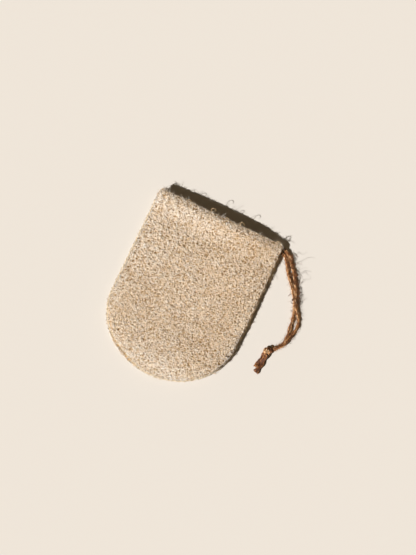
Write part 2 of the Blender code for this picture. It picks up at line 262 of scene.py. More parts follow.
def driedLoofah():
    # dried luffa vessels: straw-coloured and matt. A fibre is drawn paler the higher it stands, a painted highlight,
    # and greyer where the wear attribute is set, which is partly weathering and mostly painted shade
    material, tree, surface = newMaterial("driedLoofahFibre")
    where = addNode(tree, "ShaderNodeTexCoord").outputs["Object"]
    tone = addNode(tree, "ShaderNodeAttribute", {"attribute_name": "fibreTone"}).outputs["Fac"]
    patches = addNode(tree, "ShaderNodeTexNoise", {"Scale": perMetre(16), "Detail": 3.0}, {"Vector": where})
    grain = addNode(tree, "ShaderNodeTexNoise", {"Scale": perMetre(0.7), "Detail": 2.0}, {"Vector": where})
    shift = addNode(tree, "ShaderNodeMath", {"operation": "MULTIPLY_ADD", 1: 0.2, 2: -0.1}, {0: patches.outputs["Fac"]})
    mixed = addNode(tree, "ShaderNodeMath", {"operation": "ADD"}, {0: tone, 1: shift.outputs[0]})
    fine = addNode(tree, "ShaderNodeMath", {"operation": "MULTIPLY_ADD", 1: 0.24, 2: -0.12}, {0: grain.outputs["Fac"]})
    mixed = addNode(tree, "ShaderNodeMath", {"operation": "ADD"}, {0: mixed.outputs[0], 1: fine.outputs[0]})
    stops = ((0.0, "#d2a367"), (0.35, "#efd0a5"), (0.7, "#f9e9d3"), (1.0, "#fbf5ec"))
    colour = addRamp(tree, mixed.outputs[0], stops)
    wearAndShade = addNode(tree, "ShaderNodeAttribute", {"attribute_name": "fibreWearAndPaintedShade"}).outputs["Fac"]
    # wear and painted shade: the colour is multiplied by a cool grey where the wear attribute is set
    wornAndShaded = addNode(
        tree, "ShaderNodeMix", {"data_type": "RGBA", "blend_type": "MULTIPLY", 7: hexColour("#d8dfec")},
        {0: wearAndShade, 6: colour.outputs["Color"]},
    )
    bump = addNode(tree, "ShaderNodeBump", {"Strength": 0.4, "Distance": 0.0001}, {"Height": grain.outputs["Fac"]})
    tree.links.new(wornAndShaded.outputs[2], surface.inputs["Base Color"])
    tree.links.new(bump.outputs["Normal"], surface.inputs["Normal"])
    surface.inputs["Roughness"].default_value = 0.38
    surface.inputs["IOR"].default_value = 1.45
    surface.inputs["Specular IOR Level"].default_value = 0.85
    return material


def matPaintedShade():
    # the deep part of the mat, seen only through the pits between fibres, drawn darker and browner than the fibres as
    # painted shade in the pits
    material, tree, surface = newMaterial("pressedLoofahMatPaintedShade")
    where = addNode(tree, "ShaderNodeTexCoord").outputs["Object"]
    pits = addNode(tree, "ShaderNodeTexNoise", {"Scale": perMetre(2.2), "Detail": 4.0, "Roughness": 0.6}, {"Vector": where})
    stops = ((0.3, "#6e4716"), (0.5, "#9e7337"), (0.7, "#cea765"))
    colour = addRamp(tree, pits.outputs["Fac"], stops)
    bump = addNode(tree, "ShaderNodeBump", {"Strength": 0.8, "Distance": 0.0006}, {"Height": pits.outputs["Fac"]})
    tree.links.new(colour.outputs["Color"], surface.inputs["Base Color"])
    tree.links.new(bump.outputs["Normal"], surface.inputs["Normal"])
    surface.inputs["Roughness"].default_value = 0.85
    return material


def juteFibre():
    # raw jute: brown, dry, with golden and dark fibres in each ply
    material, tree, surface = newMaterial("rawJuteFibre")
    where = addNode(tree, "ShaderNodeTexCoord").outputs["Object"]
    tone = addNode(tree, "ShaderNodeAttribute", {"attribute_name": "fibreTone"}).outputs["Fac"]
    patches = addNode(tree, "ShaderNodeTexNoise", {"Scale": perMetre(9), "Detail": 3.0}, {"Vector": where})
    shift = addNode(tree, "ShaderNodeMath", {"operation": "MULTIPLY_ADD", 1: 0.5, 2: -0.25}, {0: patches.outputs["Fac"]})
    mixed = addNode(tree, "ShaderNodeMath", {"operation": "ADD"}, {0: tone, 1: shift.outputs[0]})
    stops = ((0.0, "#532b10"), (0.35, "#8a5529"), (0.7, "#ba844b"), (1.0, "#f3d5aa"))
    colour = addRamp(tree, mixed.outputs[0], stops)
    tree.links.new(colour.outputs["Color"], surface.inputs["Base Color"])
    surface.inputs["Roughness"].default_value = 0.7
    return material


def paleFloor():
    # smooth cream card under the mitt
    material, tree, surface = newMaterial("creamCardFloor")
    surface.inputs["Base Color"].default_value = hexColour("#cac3ba")
    surface.inputs["Roughness"].default_value = 0.95
    surface.inputs["Specular IOR Level"].default_value = 0.1
    return material


loofah, mat, jute, card = driedLoofah(), matPaintedShade(), juteFibre(), paleFloor()
print("materials made")


# Fibres: each is a thin tube on a curved path, and a piece holds a few thousand of them
def ringOf(sides):
    # a closed outline of radius 1 that the fibres' curves are swept with
    outline = bpy.data.curves.new("ringOutline", "CURVE")
    spline = outline.splines.new("POLY")
    spline.points.add(sides - 1)
    for k, point in enumerate(spline.points):
        point.co = (math.cos(tau * k / sides), math.sin(tau * k / sides), 0, 1)
    spline.use_cyclic_u = True
    return bpy.data.objects.new("ringOutline", outline)


def tubes(name, paths, radii, tones, material, sides=3, wearAndShade=0.0):
    # paths is (fibres, points, 3) and radii (fibres, points). tones and the greying by wear and painted shade are for
    # each fibre, or each point
    curve = bpy.data.curves.new(name, "CURVE")
    curve.dimensions = "3D"
    curve.bevel_mode = "OBJECT"
    ring = ringOf(sides)
    curve.bevel_object = ring
    count, points = radii.shape
    places = np.concatenate([paths, np.ones((count, points, 1))], axis=2)
    for k in range(count):
        spline = curve.splines.new("POLY")
        spline.points.add(points - 1)
        spline.points.foreach_set("co", places[k].ravel())
        spline.points.foreach_set("radius", radii[k])
    drawn = bpy.data.objects.new(name + "Drawn", curve)
    bpy.context.scene.collection.objects.link(drawn)
    mesh = bpy.data.meshes.new_from_object(drawn.evaluated_get(bpy.context.evaluated_depsgraph_get()))
    for scratch in (drawn, ring):
        bpy.data.curves.remove(scratch.data)
    for key, values in (("fibreTone", tones), ("fibreWearAndPaintedShade", wearAndShade)):
        values = np.ravel(values)
        values = np.repeat(values, len(mesh.vertices) // len(values)).astype(np.float32)
        mesh.attributes.new(key, "FLOAT", "POINT").data.foreach_set("value", values)
    built = bmesh.new()
    built.from_mesh(mesh)
    bmesh.ops.remove_doubles(built, verts=built.verts, dist=1e-7)  # a fibre's ends are points
    built.to_mesh(mesh)
    built.free()
    mesh.name = name
    mesh.materials.clear()
    mesh.materials.append(material)
    mesh.shade_smooth()
    piece = bpy.data.objects.new(name, mesh)
    bpy.context.scene.collection.objects.link(piece)
    return piece


def unit(vectors):
    return vectors / np.maximum(np.linalg.norm(vectors, axis=-1, keepdims=True), 1e-9)


def framesAlong(route):
    # two directions square to the route, which turn as little as they can along it
    ways = unit(np.gradient(route, axis=0))
    sides = [unit(np.cross(ways[0], (0.02, 0.01, 1.0)))]
    for way in ways[1:]:
        sides.append(unit(sides[-1] - way * (sides[-1] @ way)))
    sides = np.array(sides)
    return sides, np.cross(ways, sides)


def joined(name, pieces):
    built = bmesh.new()
    for piece in pieces:
        built.from_mesh(piece.data)
    mesh = bpy.data.meshes.new(name)
    built.to_mesh(mesh)
    built.free()
    mesh.materials.append(pieces[0].data.materials[0])
    mesh.shade_smooth()
    for piece in pieces:
        bpy.data.meshes.remove(piece.data)
    made = bpy.data.objects.new(name, mesh)
    bpy.context.scene.collection.objects.link(made)
    return made


def hairs(rng, roots, outward, length, points, radius, curl, lowest, leastCurl=0.0):
    # hairs that leave their roots outwards and curl at random
    count = len(roots)
    way = unit(outward + rng.normal(0, 0.35, (count, 3)))
    axis = unit(rng.normal(0, 1, (count, 3)))
    turn = rng.normal(0, curl, (count, 1))
    turn += np.copysign(leastCurl, turn)
    step = length / (points - 1)
    places, here = [roots], roots
    for _ in range(points - 1):
        way = unit(way + turn * np.cross(axis, way) + rng.normal(0, 0.12, (count, 3)))
        here = here + way * step
        here[:, 2] = np.maximum(here[:, 2], lowest)
        places.append(here)
    t = np.linspace(0, 1, points)
    radii = radius * rng.lognormal(0, 0.2, (count, 1)) * np.sqrt(np.clip(1 - t, 0, 1))[None, :]
    radii[:, 0] = 0
    return np.stack(places, axis=1), radii


def foldAtEdge(x, y, inside):
    # places outside an outline are pulled back to it: gives them, how far out they were, and the way out
    e = 0.0004
    deep = inside(x, y)
    gx = (inside(x + e, y) - inside(x - e, y)) / (2 * e)
    gy = (inside(x, y + e) - inside(x, y - e)) / (2 * e)
    size = np.maximum(np.hypot(gx, gy), 1.0)
    over = np.clip(-deep, 0, None) / size
    gx, gy = gx / size, gy / size
    return x + gx * over, y + gy * over, over, -gx, -gy, deep


def arches(rng, spec, middles):
    # short fibres that start in the mat, arch over its surface and dive in again, each bent its own way.
    # Gives u, v along the surface and w up from it, with a radius for each point and a tone for each fibre
    count = len(middles)
    t = np.linspace(-0.5, 0.5, spec["points"])
    length = spec["length"] * rng.lognormal(0, spec["lengthSpread"], (count, 1))
    heading = rng.uniform(0, tau, (count, 1))
    heading = np.arctan2(np.sin(heading) * (1 - spec["favour"]), np.cos(heading)) + spec["turn"]
    bend = rng.normal(0, spec["bend"], (count, 1))
    angle = heading + bend * (t[1:] + t[:-1]) / 2
    step = length / (spec["points"] - 1)
    u, v = (np.concatenate([np.zeros((count, 1)), np.cumsum(way(angle), axis=1)], axis=1) * step
            for way in (np.cos, np.sin))
    u += middles[:, :1] - u.mean(axis=1, keepdims=True)
    v += middles[:, 1:] - v.mean(axis=1, keepdims=True)
    level = rng.uniform(*spec["level"], (count, 1))
    rise = rng.uniform(*spec["rise"], (count, 1))
    w = level + rise * (1 - 4 * t * t) - spec["sink"] * 4 * t * t
    radii = spec["radius"] * rng.lognormal(0, spec["uneven"], (count, 1)) * np.sqrt(np.clip(1 - 4 * t * t, 0, 1))
    low, high = spec["level"][0] + spec["rise"][0], spec["level"][1] + spec["rise"][1]
    height = ((level + rise)[:, 0] - low) / (high - low)
    # painted highlight: the higher a fibre stands, the paler it is drawn
    tones = rng.normal(spec["tone"], spec["toneSpread"], count) + spec["paintedHighlightByHeight"] * (height - 0.5)
    return u, v, w, radii, tones


def drawnWithin(rng, count, low, high, allowed):
    found = np.zeros((0, 2))
    while len(found) < count:
        tried = rng.uniform(low, high, (count, 2))
        found = np.concatenate([found, tried[allowed(tried[:, 0], tried[:, 1])]])
    return found[:count]


def addPiece(piece, replaced=None):
    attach(piece, "root")
    if replaced:
        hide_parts(replaced)
    print(piece.name, sum(len(face.vertices) - 2 for face in piece.data.polygons), "triangles")


# The net of fibres that a layer's face is made of. The favoured direction is roughly across the mitt.
netFibres = dict(
    seed=3, points=4, length=0.0037, lengthSpread=0.3, favour=0.25, turn=-0.3, bend=0.8, radius=0.00021, uneven=0.3,
    level=(-0.0005, 0.0001), rise=(0.0001, 0.0008), sink=0.0008, tone=0.48, toneSpread=0.05, paintedHighlightByHeight=0.78,
)
rimShape = dict(
    rounding=0.0003, reach=0.0020, droop=0.0026, proud=0.0001,
    throw=-0.0009, throwSpread=0.0010,  # how far the odd fibre sticks out
    shade=0.03,  # painted shade: the tone is drawn browner towards the edges
)

edgePaintedShade = dict(rim=0.9, rimReach=0.0014, face=0.30, faceReach=0.008)  # painted shade: fibres near the lit edges are drawn greyer

# Places on the front: middle, half size along X and Y, change of tone, and greying. The first three are weathered
# spots. The band behind the mouth at the left, the rounded end and the strip along the right edge are drawn paler,
# painted light where the face tilts to the lamp or where its rounding is shaded; the valley behind the lip and the
# strip along the mouth are drawn darker and greyer, painted shade where the face tilts away. The others are paler or
# darker places
patches = (
    ((-0.055, -0.006), (0.022, 0.010), -0.08, 0.14),
    ((0.018, -0.041), (0.024, 0.006), -0.10, 0.18),
    ((0.035, -0.023), (0.034, 0.003), -0.08, 0.14),
    ((-0.045, 0.084), (0.050, 0.009), 0.12, 0),
    ((0.060, 0.080), (0.030, 0.016), -0.06, 0.08),
    ((0.000, 0.063), (0.090, 0.008), -0.07, 0.20),
    ((0.000, 0.098), (0.090, 0.003), -0.10, 0.24),
    ((-0.062, 0.030), (0.024, 0.060), 0.07, 0),
    ((-0.010, -0.083), (0.058, 0.012), 0.15, 0),
    ((0.074, 0.015), (0.007, 0.080), 0.05, 0),
    ((0.048, 0.020), (0.026, 0.045), -0.07, 0),
)


def patchAt(x, y):
    tone, wearAndShade = np.zeros_like(x), np.zeros_like(x)
    for (px, py), (sx, sy), lighter, wornAndShaded in patches:
        near = np.exp(-(((x - px) / sx) ** 2) - ((y - py) / sy) ** 2)
        tone += lighter * near
        wearAndShade += wornAndShaded * near
    return tone, wearAndShade


# Small pits that the fibres part round, so that the dark mat shows through
pits = dict(seed=61, count=1000, size=(0.00035, 0.00085), cell=0.00015, passes=3)


def makePits():
    # for each cell near a pit, how far a fibre there has to move to clear it
    rng = np.random.default_rng(pits["seed"])
    places = drawnWithin(rng, pits["count"], planLow, planHigh, lambda x, y: insideBack(x, y) > 0.001)
    clear = rng.uniform(*pits["size"], pits["count"]) + netFibres["radius"]
    shape = tuple(int((high - low) / pits["cell"]) + 2 for low, high in zip(planLow, planHigh))
    moves = np.zeros((*shape, 2))
    reach = int(clear.max() / pits["cell"]) + 1
    steps = np.arange(-reach, reach + 1)
    for (px, py), most in zip(places, clear):
        i, j = int((px - planLow[0]) / pits["cell"]), int((py - planLow[1]) / pits["cell"])
        rows, columns = np.clip(i + steps, 0, shape[0] - 1), np.clip(j + steps, 0, shape[1] - 1)
        dx = (planLow[0] + (rows + 0.5) * pits["cell"] - px)[:, None]
        dy = (planLow[1] + (columns + 0.5) * pits["cell"] - py)[None, :]
        away = np.hypot(dx, dy)
        share = np.clip(most / np.maximum(away, 2e-5) - 1, 0, None)
        part = np.stack([dx * share, dy * share], axis=2)
        moves[np.ix_(rows, columns)] += part
    return moves


def clearPits(u, v):
    # whole fibres step aside from the pits that they lie over
    for _ in range(pits["passes"]):
        between = [(value[:, 1:] + value[:, :-1]) / 2 for value in (u, v)]
        x, y = (np.concatenate(pair, axis=1) for pair in ((u, between[0]), (v, between[1])))
        i = np.clip(((x - planLow[0]) / pits["cell"]).astype(int), 0, pitMoves.shape[0] - 1)
        j = np.clip(((y - planLow[1]) / pits["cell"]).astype(int), 0, pitMoves.shape[1] - 1)
        asked = pitMoves[i, j]
        worst = np.argmax(np.hypot(asked[..., 0], asked[..., 1]), axis=1)
        chosen = asked[np.arange(len(u)), worst]
        u, v = u + chosen[:, :1], v + chosen[:, 1:]
    return u, v


planLow, planHigh = (backLow.x, mitt["tipY"]), (backHigh.x, mitt["mouthY"])
pitMoves = makePits()


def grooveShadeAt(x, y):
    # the seam's groove along the front's edge, where the ledge is wide, is drawn darker and greyer as painted shade
    wide = (ledgeAt(x, y) - mitt["ledge"]) / (mitt["wideLedge"] - mitt["ledge"])
    return wide * np.exp(-(((insideFront(x, y) + 0.0016) / 0.0009) ** 2))


def coverFace(name, spec, count, allowed, inside, face, up, patched=False):
    # fibres over a level face of a layer. up is 1 where it looks up, and -1 where it looks down
    rng = np.random.default_rng(spec["seed"])
    middles = drawnWithin(rng, count, planLow, planHigh, allowed)
    u, v, w, radii, tones = arches(rng, spec, middles)
    u, v = clearPits(u, v)
    x, y, over, outX, outY, deep = foldAtEdge(u, v, inside)
    rounding = rimShape["rounding"] * np.clip(1 - deep / rimShape["reach"], 0, 1) ** 2
    droop = np.minimum(over, rimShape["droop"])
    z = face(x, y) + up * (w - droop - rounding)
    z = np.maximum(z, radii + 0.0001)
    thrown = np.clip(rng.normal(rimShape["throw"], rimShape["throwSpread"], (count, 1)), 0, 0.002)
    tones = tones - rimShape["shade"] * np.clip(1 - deep.mean(axis=1) / rimShape["reach"], 0, 1)
    proud = np.where(over > 0, np.clip(w, 0, None) * 0.5 + rimShape["proud"] + thrown, 0)
    path = np.stack([x + outX * proud, y + outY * proud, z], axis=2)
    depth = deep.mean(axis=1)
    # painted shade: fibres near the edges are greyed only where the lamp falls, not along the shaded right side
    wearAndShade = edgePaintedShade["rim"] * np.clip(1 - depth / edgePaintedShade["rimReach"], 0, 1)
    wearAndShade = wearAndShade + edgePaintedShade["face"] * np.clip(1 - depth / edgePaintedShade["faceReach"], 0, 1)
    wearAndShade = wearAndShade * awayFromRight(*middles.T)
    if patched:
        lighter, wornAndShaded = patchAt(*middles.T)
        tones, wearAndShade = tones + lighter, wearAndShade + wornAndShaded
    # painted shade in the seam's groove
    grooveShade = 0 if patched else grooveShadeAt(x, y)
    tones, wearAndShade = tones[:, None] - 0.30 * grooveShade, wearAndShade[:, None] + grooveShade
    piece = tubes(name, path, radii, np.clip(tones, 0.02, 0.98), loofah, wearAndShade=np.clip(wearAndShade, 0, 1))
    addPiece(piece)


def frontTop(x, y):
    return heightAt(topOfFront, x, y) + lipAt(y) + swellAt(y) + archAt(x, y)


def frontUnder(x, y):
    return heightAt(liningOfFront, x, y) + archAt(x, y)


def backTop(x, y):
    return mitt["layer"] + curl(x, y)


def backUnder(x, y):
    return curl(x, y) + 0.0008


# The front has two pieces of close net, and stouter fibres that stand out of it, drawn paler as a painted highlight
frontCount = 15200
crownCount = 9800
crown = dict(
    netFibres, seed=9, points=5, length=0.0034, radius=0.00022, level=(-0.0002, 0.0002), rise=(0.0002, 0.0011),
    sink=0.0010, tone=0.60, bend=0.9,
)
for k in range(2):
    spec = dict(netFibres, seed=netFibres["seed"] + k)
    coverFace(f"frontNet{k}", spec, frontCount, lambda x, y: insideFront(x, y) > 0, insideFront, frontTop, 1, True)
coverFace("frontCrown", crown, crownCount, lambda x, y: insideFront(x, y) > 0, insideFront, frontTop, 1, True)

# The back layer's top shows as a ledge round the front layer, and again inside the mouth
ledgeBand = 0.003
liningDepth = 0.040
spec = dict(netFibres, seed=11)
coverFace(
    "ledgeNet", spec, 2600, lambda x, y: (insideBack(x, y) > 0) & (insideFront(x, y) < ledgeBand), insideBack,
    backTop, 1,
)
spec = dict(crown, seed=15)
coverFace(
    "ledgeCrown", spec, 500, lambda x, y: (insideBack(x, y) > 0) & (insideFront(x, y) < 0), insideBack, backTop, 1,
)


def nearMouth(x, y):
    return (mitt["mouthY"] - y < liningDepth) & (insideFront(x, y) > 0.006)


spec = dict(netFibres, seed=12, length=0.0065, radius=0.00036)
coverFace("backLiningNet", spec, 1500, nearMouth, insideBack, backTop, 1)
spec = dict(netFibres, seed=13, length=0.0065, radius=0.00036)
coverFace("frontLiningNet", spec, 1500, nearMouth, insideFront, frontUnder, -1)
spec = dict(netFibres, seed=14, length=0.0065, radius=0.00036, rise=(0.0001, 0.0007))
coverFace("underNet", spec, 8000, lambda x, y: insideBack(x, y) > 0, insideBack, backUnder, -1)
print("faces covered")


# Rims: the cut edges of both layers, all the way round and across the mouth
def outlineOf(ledge, setback):
    # a closed path clockwise from the mouth's right corner, as places and their distances along it
    corner = mitt["cornerRadius"] * (1 - np.cos(np.linspace(0, math.pi / 2, 12)))
    away = np.concatenate([corner, np.linspace(mitt["cornerRadius"], straight, 80)[1:]])
    half = halfWidth(away)
    y = mitt["mouthY"] - away - setback * smooth(1 - away / straight)
    angles = -np.linspace(0, math.pi, 160)[1:-1]
    x = np.concatenate([half, mitt["bodyHalf"] * np.cos(angles), -half[::-1], np.linspace(-half[0], half[0], 60)[1:]])
    y = np.concatenate([y, endCentreY + mitt["endLength"] * np.sin(angles), y[::-1], np.full(59, y[0])])
    inX, inY = -x, np.where(y < endCentreY, endCentreY - y, 0)
    onMouth = y > mitt["mouthY"] - setback - 1e-4
    inset = trimAt(x, y) + (ledgeAt(x, y) if ledge else 0)
    share = np.where(onMouth, 0, inset / np.hypot(inX, inY))
    x, y = x + inX * share, y + inY * share
    x = np.where(onMouth, np.clip(x, x.min() + corner[-1] + 0.0002, x.max() - corner[-1] - 0.0002), x)
    wayX, wayY = np.gradient(x), np.gradient(y)
    share = ragged(x, y) / np.maximum(np.hypot(wayX, wayY), 1e-9)
    places = np.stack([x - wayY * share, y + wayX * share], axis=1)
    along = np.concatenate([[0], np.cumsum(np.hypot(*np.diff(places, axis=0).T))])
    return places, along


# rim fibres are drawn a little darker than the face's: painted shade on the edges that face the lamp
rimFibres = dict(
    netFibres, length=0.0040, favour=0.2, bend=0.9, level=(-0.0009, -0.0002), rise=(0.0001, 0.0010), radius=0.00026,
    tone=0.42,
)


def coverRim(name, seed, count, places, along, low):
    rng = np.random.default_rng(seed)
    thick = mitt["layer"]
    middles = np.stack([rng.uniform(0, along[-1], count), rng.uniform(0.0002, thick - 0.0002, count)], axis=1)
    u, v, w, radii, tones = arches(rng, rimFibres, middles)
    w = w + np.clip(rng.normal(rimShape["throw"], rimShape["throwSpread"] * 0.7, (count, 1)), 0, 0.0015)
    u = np.mod(u, along[-1])
    v = np.clip(v, 0.0001, thick - 0.0001)
    x, y = (np.interp(u, along, places[:, k]) for k in (0, 1))
    ahead = np.mod(u + 0.001, along[-1])
    wayX, wayY = (np.interp(ahead, along, places[:, k]) - value for k, value in ((0, x), (1, y)))
    size = np.hypot(wayX, wayY)
    outX, outY = -wayY / size, wayX / size
    off = w - rimShape["rounding"] * np.abs(2 * v / thick - 1) ** 1.5
    z = np.maximum(low(x - outX * 0.002, y - outY * 0.002) + v, radii + 0.0001)
    path = np.stack([x + outX * off, y + outY * off, z], axis=2)
    # painted shade: rim fibres are greyed, most on the side the lamp falls on
    wearAndShade = edgePaintedShade["rim"] * (0.4 + 0.6 * awayFromRight(*path.mean(axis=1)[:, :2].T))
    addPiece(tubes(name, path, radii, np.clip(tones, 0.02, 0.98), loofah, wearAndShade=wearAndShade))


coverRim("frontRimNet", 21, 2000, *outlineOf(True, 0), frontUnder)
coverRim("backRimNet", 22, 2000, *outlineOf(False, mitt["backSetback"]), curl)
print("rims covered")


# The seam: two-ply cotton that dips in and out of the ledge beside the front layer's edge
seam = dict(
    away=0.0011, height=0.0010, startBefore=0.017, stopBefore=0.008, stitch=0.0058, dip=0.0005, step=0.0005,
    plyRadius=0.00027, lay=0.0026,
)


def cottonThread():
    # undyed cotton: straw white and matt, with a fine grain of fibres along it
    material, tree, surface = newMaterial("undyedCottonThread")
    where = addNode(tree, "ShaderNodeTexCoord").outputs["Object"]
    grain = addNode(tree, "ShaderNodeTexNoise", {"Scale": perMetre(0.5), "Detail": 3.0}, {"Vector": where})
    colour = addRamp(tree, grain.outputs["Fac"], ((0.3, "#c9ad7f"), (0.6, "#ead8b4")))
    tree.links.new(colour.outputs["Color"], surface.inputs["Base Color"])
    surface.inputs["Roughness"].default_value = 0.75
    return material


def makeSeam():
    places, along = outlineOf(True, 0)
    s = np.arange(seam["startBefore"], along[-1] - seam["stopBefore"] - 2 * mitt["mouthHalf"], seam["step"])
    x, y = (np.interp(s, along, places[:, k]) for k in (0, 1))
    wayX, wayY = np.gradient(x, s), np.gradient(y, s)
    phase = tau * s / seam["stitch"]
    away = seam["away"] - seam["dip"] * 0.5 * np.cos(phase)
    z = mitt["layer"] + curl(x, y) + seam["height"] - seam["dip"] * (0.5 - 0.5 * np.cos(phase))
    route = np.stack([x - wayY * away, y + wayX * away, z], axis=1)
    sides, ups = framesAlong(route)
    turns = tau * s / seam["lay"]
    plies = [
        route + seam["plyRadius"] * 0.8 * (np.cos(turns + shift)[:, None] * sides + np.sin(turns + shift)[:, None] * ups)
        for shift in (0, math.pi)
    ]
    ends = np.minimum(s - s[0], s[-1] - s)
    radii = seam["plyRadius"] * np.sqrt(np.clip(ends / 0.001, 0, 1))
    piece = tubes("seamStitches", np.array(plies), np.array([radii, radii]), np.array([0.5, 0.5]), cotton, sides=4)
    addPiece(piece, "seam_thread")


cotton = cottonThread()
makeSeam()
print("seam sewn")


# Strays: loose ends along the rims, and a few wiry hooks at the mouth
strays = dict(
    seed=51, mouth=150, long=44, corner=0.007, rims=520, length=0.0026, longLength=0.0056, radius=0.00020,
    longRadius=0.00027, rimRadius=0.00024, rimShadeTone=0.12,
)
mouthHooks = (
    (-0.0446, 0.0042, 0.5), (-0.0131, 0.0055, -0.3), (0.0040, 0.0034, 0.2), (0.0227, 0.0049, -0.2),
    (0.0670, 0.0046, 0.4),
)
hookShape = dict(points=16, radius=0.00025, turn=5.0, lean=0.75)


def makeStrays():
    rng = np.random.default_rng(strays["seed"])
    parts = []
    half = mitt["mouthHalf"] - 0.003
    kinds = (("mouth", "length", "radius", 0.9), ("long", "longLength", "longRadius", 1.2))
    for key, length, radius, up in kinds:
        count = strays[key]
        x = rng.uniform(-half, half, count)
        cornered = count // 4
        x[:cornered] = rng.choice((-1, 1), cornered) * rng.uniform(half - strays["corner"], half, cornered)
        y = np.full(count, mitt["mouthY"] - 0.0006)
        roots = np.stack([x, y, frontTop(x, y) - rng.uniform(0.0002, 0.0022, count)], axis=1)
        outward = [rng.normal(0, 0.5, count), rng.uniform(0.5, 1, count), rng.uniform(-0.1, up, count)]
        lengths = strays[length] * rng.lognormal(0, 0.35, (count, 1))
        parts.append((*hairs(rng, roots, np.stack(outward, axis=1), lengths, 6, strays[radius], 0.35, 0.0003), 0.5))
    count = strays["rims"]
    for inset, setback, low in ((True, 0, frontUnder), (False, mitt["backSetback"], curl)):
        places, along = outlineOf(inset, setback)
        s = rng.uniform(0, along[-1] - 2 * half, count)
        x, y = (np.interp(s, along, places[:, k]) for k in (0, 1))
        out = unit(np.stack([x, y - np.maximum(y, endCentreY), rng.uniform(-0.3, 0.5, count) * 0.08], axis=1))
        z = low(x * 0.97, y) + rng.uniform(0.0005, 0.0026, count)
        roots = np.stack([x, y, z], axis=1) - out * 0.0006
        length = strays["length"] * rng.lognormal(-0.35, 0.45, (count, 1))
        made = hairs(rng, roots, out, length, 6, strays["rimRadius"], 0.45, 0.0003)
        parts.append((*made, strays["rimShadeTone"]))
    # painted shade: all strays are drawn greyer, and those on the rims darker
    pieces = [
        tubes("strayPart", places, radii, np.clip(rng.normal(tone, 0.15, len(places)), 0, 1), loofah, wearAndShade=0.8)
        for places, radii, tone in parts
    ]
    pieces.append(makeHooks())
    addPiece(joined("strayFibres", pieces))


def makeHooks():
    paths, radii = [], []
    t = np.linspace(0, 1, hookShape["points"])
    for x, size, twist in mouthHooks:
        angle = twist + hookShape["turn"] * np.clip(t - 0.3, 0, 1)
        step = size * 2.6 / len(t)
        across = np.cumsum(np.sin(angle)) * step
        out = np.cumsum(np.cos(angle)) * step
        y = mitt["mouthY"] - 0.0015
        z = float(frontTop(np.array(x), np.array(y))) - 0.0004
        paths.append(np.stack([x + across, y + out * math.cos(hookShape["lean"]), z + out * math.sin(hookShape["lean"])], axis=1))
        radii.append(hookShape["radius"] * np.sqrt(np.clip(np.minimum(t * 12, (1 - t) * 6), 0, 1)))
    # painted shade: the hooks are drawn dark and grey, as if in the shadow of the mouth's edge
    return tubes("hookPart", np.array(paths), np.array(radii), np.full(len(paths), 0.05), loofah, sides=5, wearAndShade=1.0)


makeStrays()
print("strays added")


# The pressed mat under the fibres: each layer's solid, with its net smoothed away
matShape = dict(voxel=0.0020, smoothing=6, drop=0.0006, inset=0.0004)


def matFrom(node, name):
    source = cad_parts[node]
    built = bmesh.new()
    built.from_mesh(source.data)
    bmesh.ops.remove_doubles(built, verts=built.verts, dist=1e-6)
    mesh = bpy.data.meshes.new(name)
    built.to_mesh(mesh)
    built.free()
    piece = bpy.data.objects.new(name, mesh)
    bpy.context.scene.collection.objects.link(piece)
    remesh = piece.modifiers.new("remesh", "REMESH")
    remesh.mode = "VOXEL"
    remesh.voxel_size = matShape["voxel"]
    shaped = bpy.data.meshes.new_from_object(piece.evaluated_get(bpy.context.evaluated_depsgraph_get()))
    bpy.data.objects.remove(piece)
    built = bmesh.new()
    built.from_mesh(shaped)
    for _ in range(matShape["smoothing"]):
        bmesh.ops.smooth_vert(built, verts=built.verts, factor=0.5, use_axis_x=False, use_axis_y=False, use_axis_z=True)
    x, y = (np.array([vert.co[k] for vert in built.verts]) for k in (0, 1))
    within = insideFront if node == "loofah_front" else insideBack
    x, y = foldAtEdge(x, y, lambda x, y: within(x, y) - matShape["inset"])[:2]
    for vert, newX, newY in zip(built.verts, x, y):
        vert.co.x, vert.co.y = newX, newY
    if node == "loofah_front":
        for vert, rise, roll in zip(built.verts, archAt(x, y), lipAt(y) + swellAt(y)):
            vert.co.z += rise + (roll - matShape["drop"] if vert.normal.z > 0.3 else 0)
    built.to_mesh(shaped)
    built.free()
    shaped.name = name
    shaped.materials.clear()
    shaped.materials.append(mat)
    shaped.shade_smooth()
    piece = bpy.data.objects.new(name, shaped)
    bpy.context.scene.collection.objects.link(piece)
    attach(piece, "root")
    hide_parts(node)
    return piece


for node, name in (("loofah_front", "frontMat"), ("loofah_back", "backMat")):
    made = matFrom(node, name)
    print(name, len(made.data.polygons))


# The doubled jute string, along the routes of the frame's own string solids
string = dict(
    radius=0.0020,  # half the string's thickness, with its loose fibres
    plies=2,
    plyRadius=0.00128,
    lay=0.0114,  # length of one turn of the plies
    fibres=12,
    fibreRadius=0.00025,
    fibreLay=0.0178,  # length of one turn of a fibre in its ply, the other way round
    stepLength=0.0011,
    uneven=0.00009,
    toneSpread=0.26,
    toneStripes=0.3,  # fibres of like tone lie together
    settle=0.8,  # the runs sink into each other, so the upper one lies lower than its solid
    tone=0.47,
    paler=0.26,  # where the runs cross
    darker=0.15,  # below the eye
    open=0.6,  # how much of the twist is lost there
    below=0.036,
)
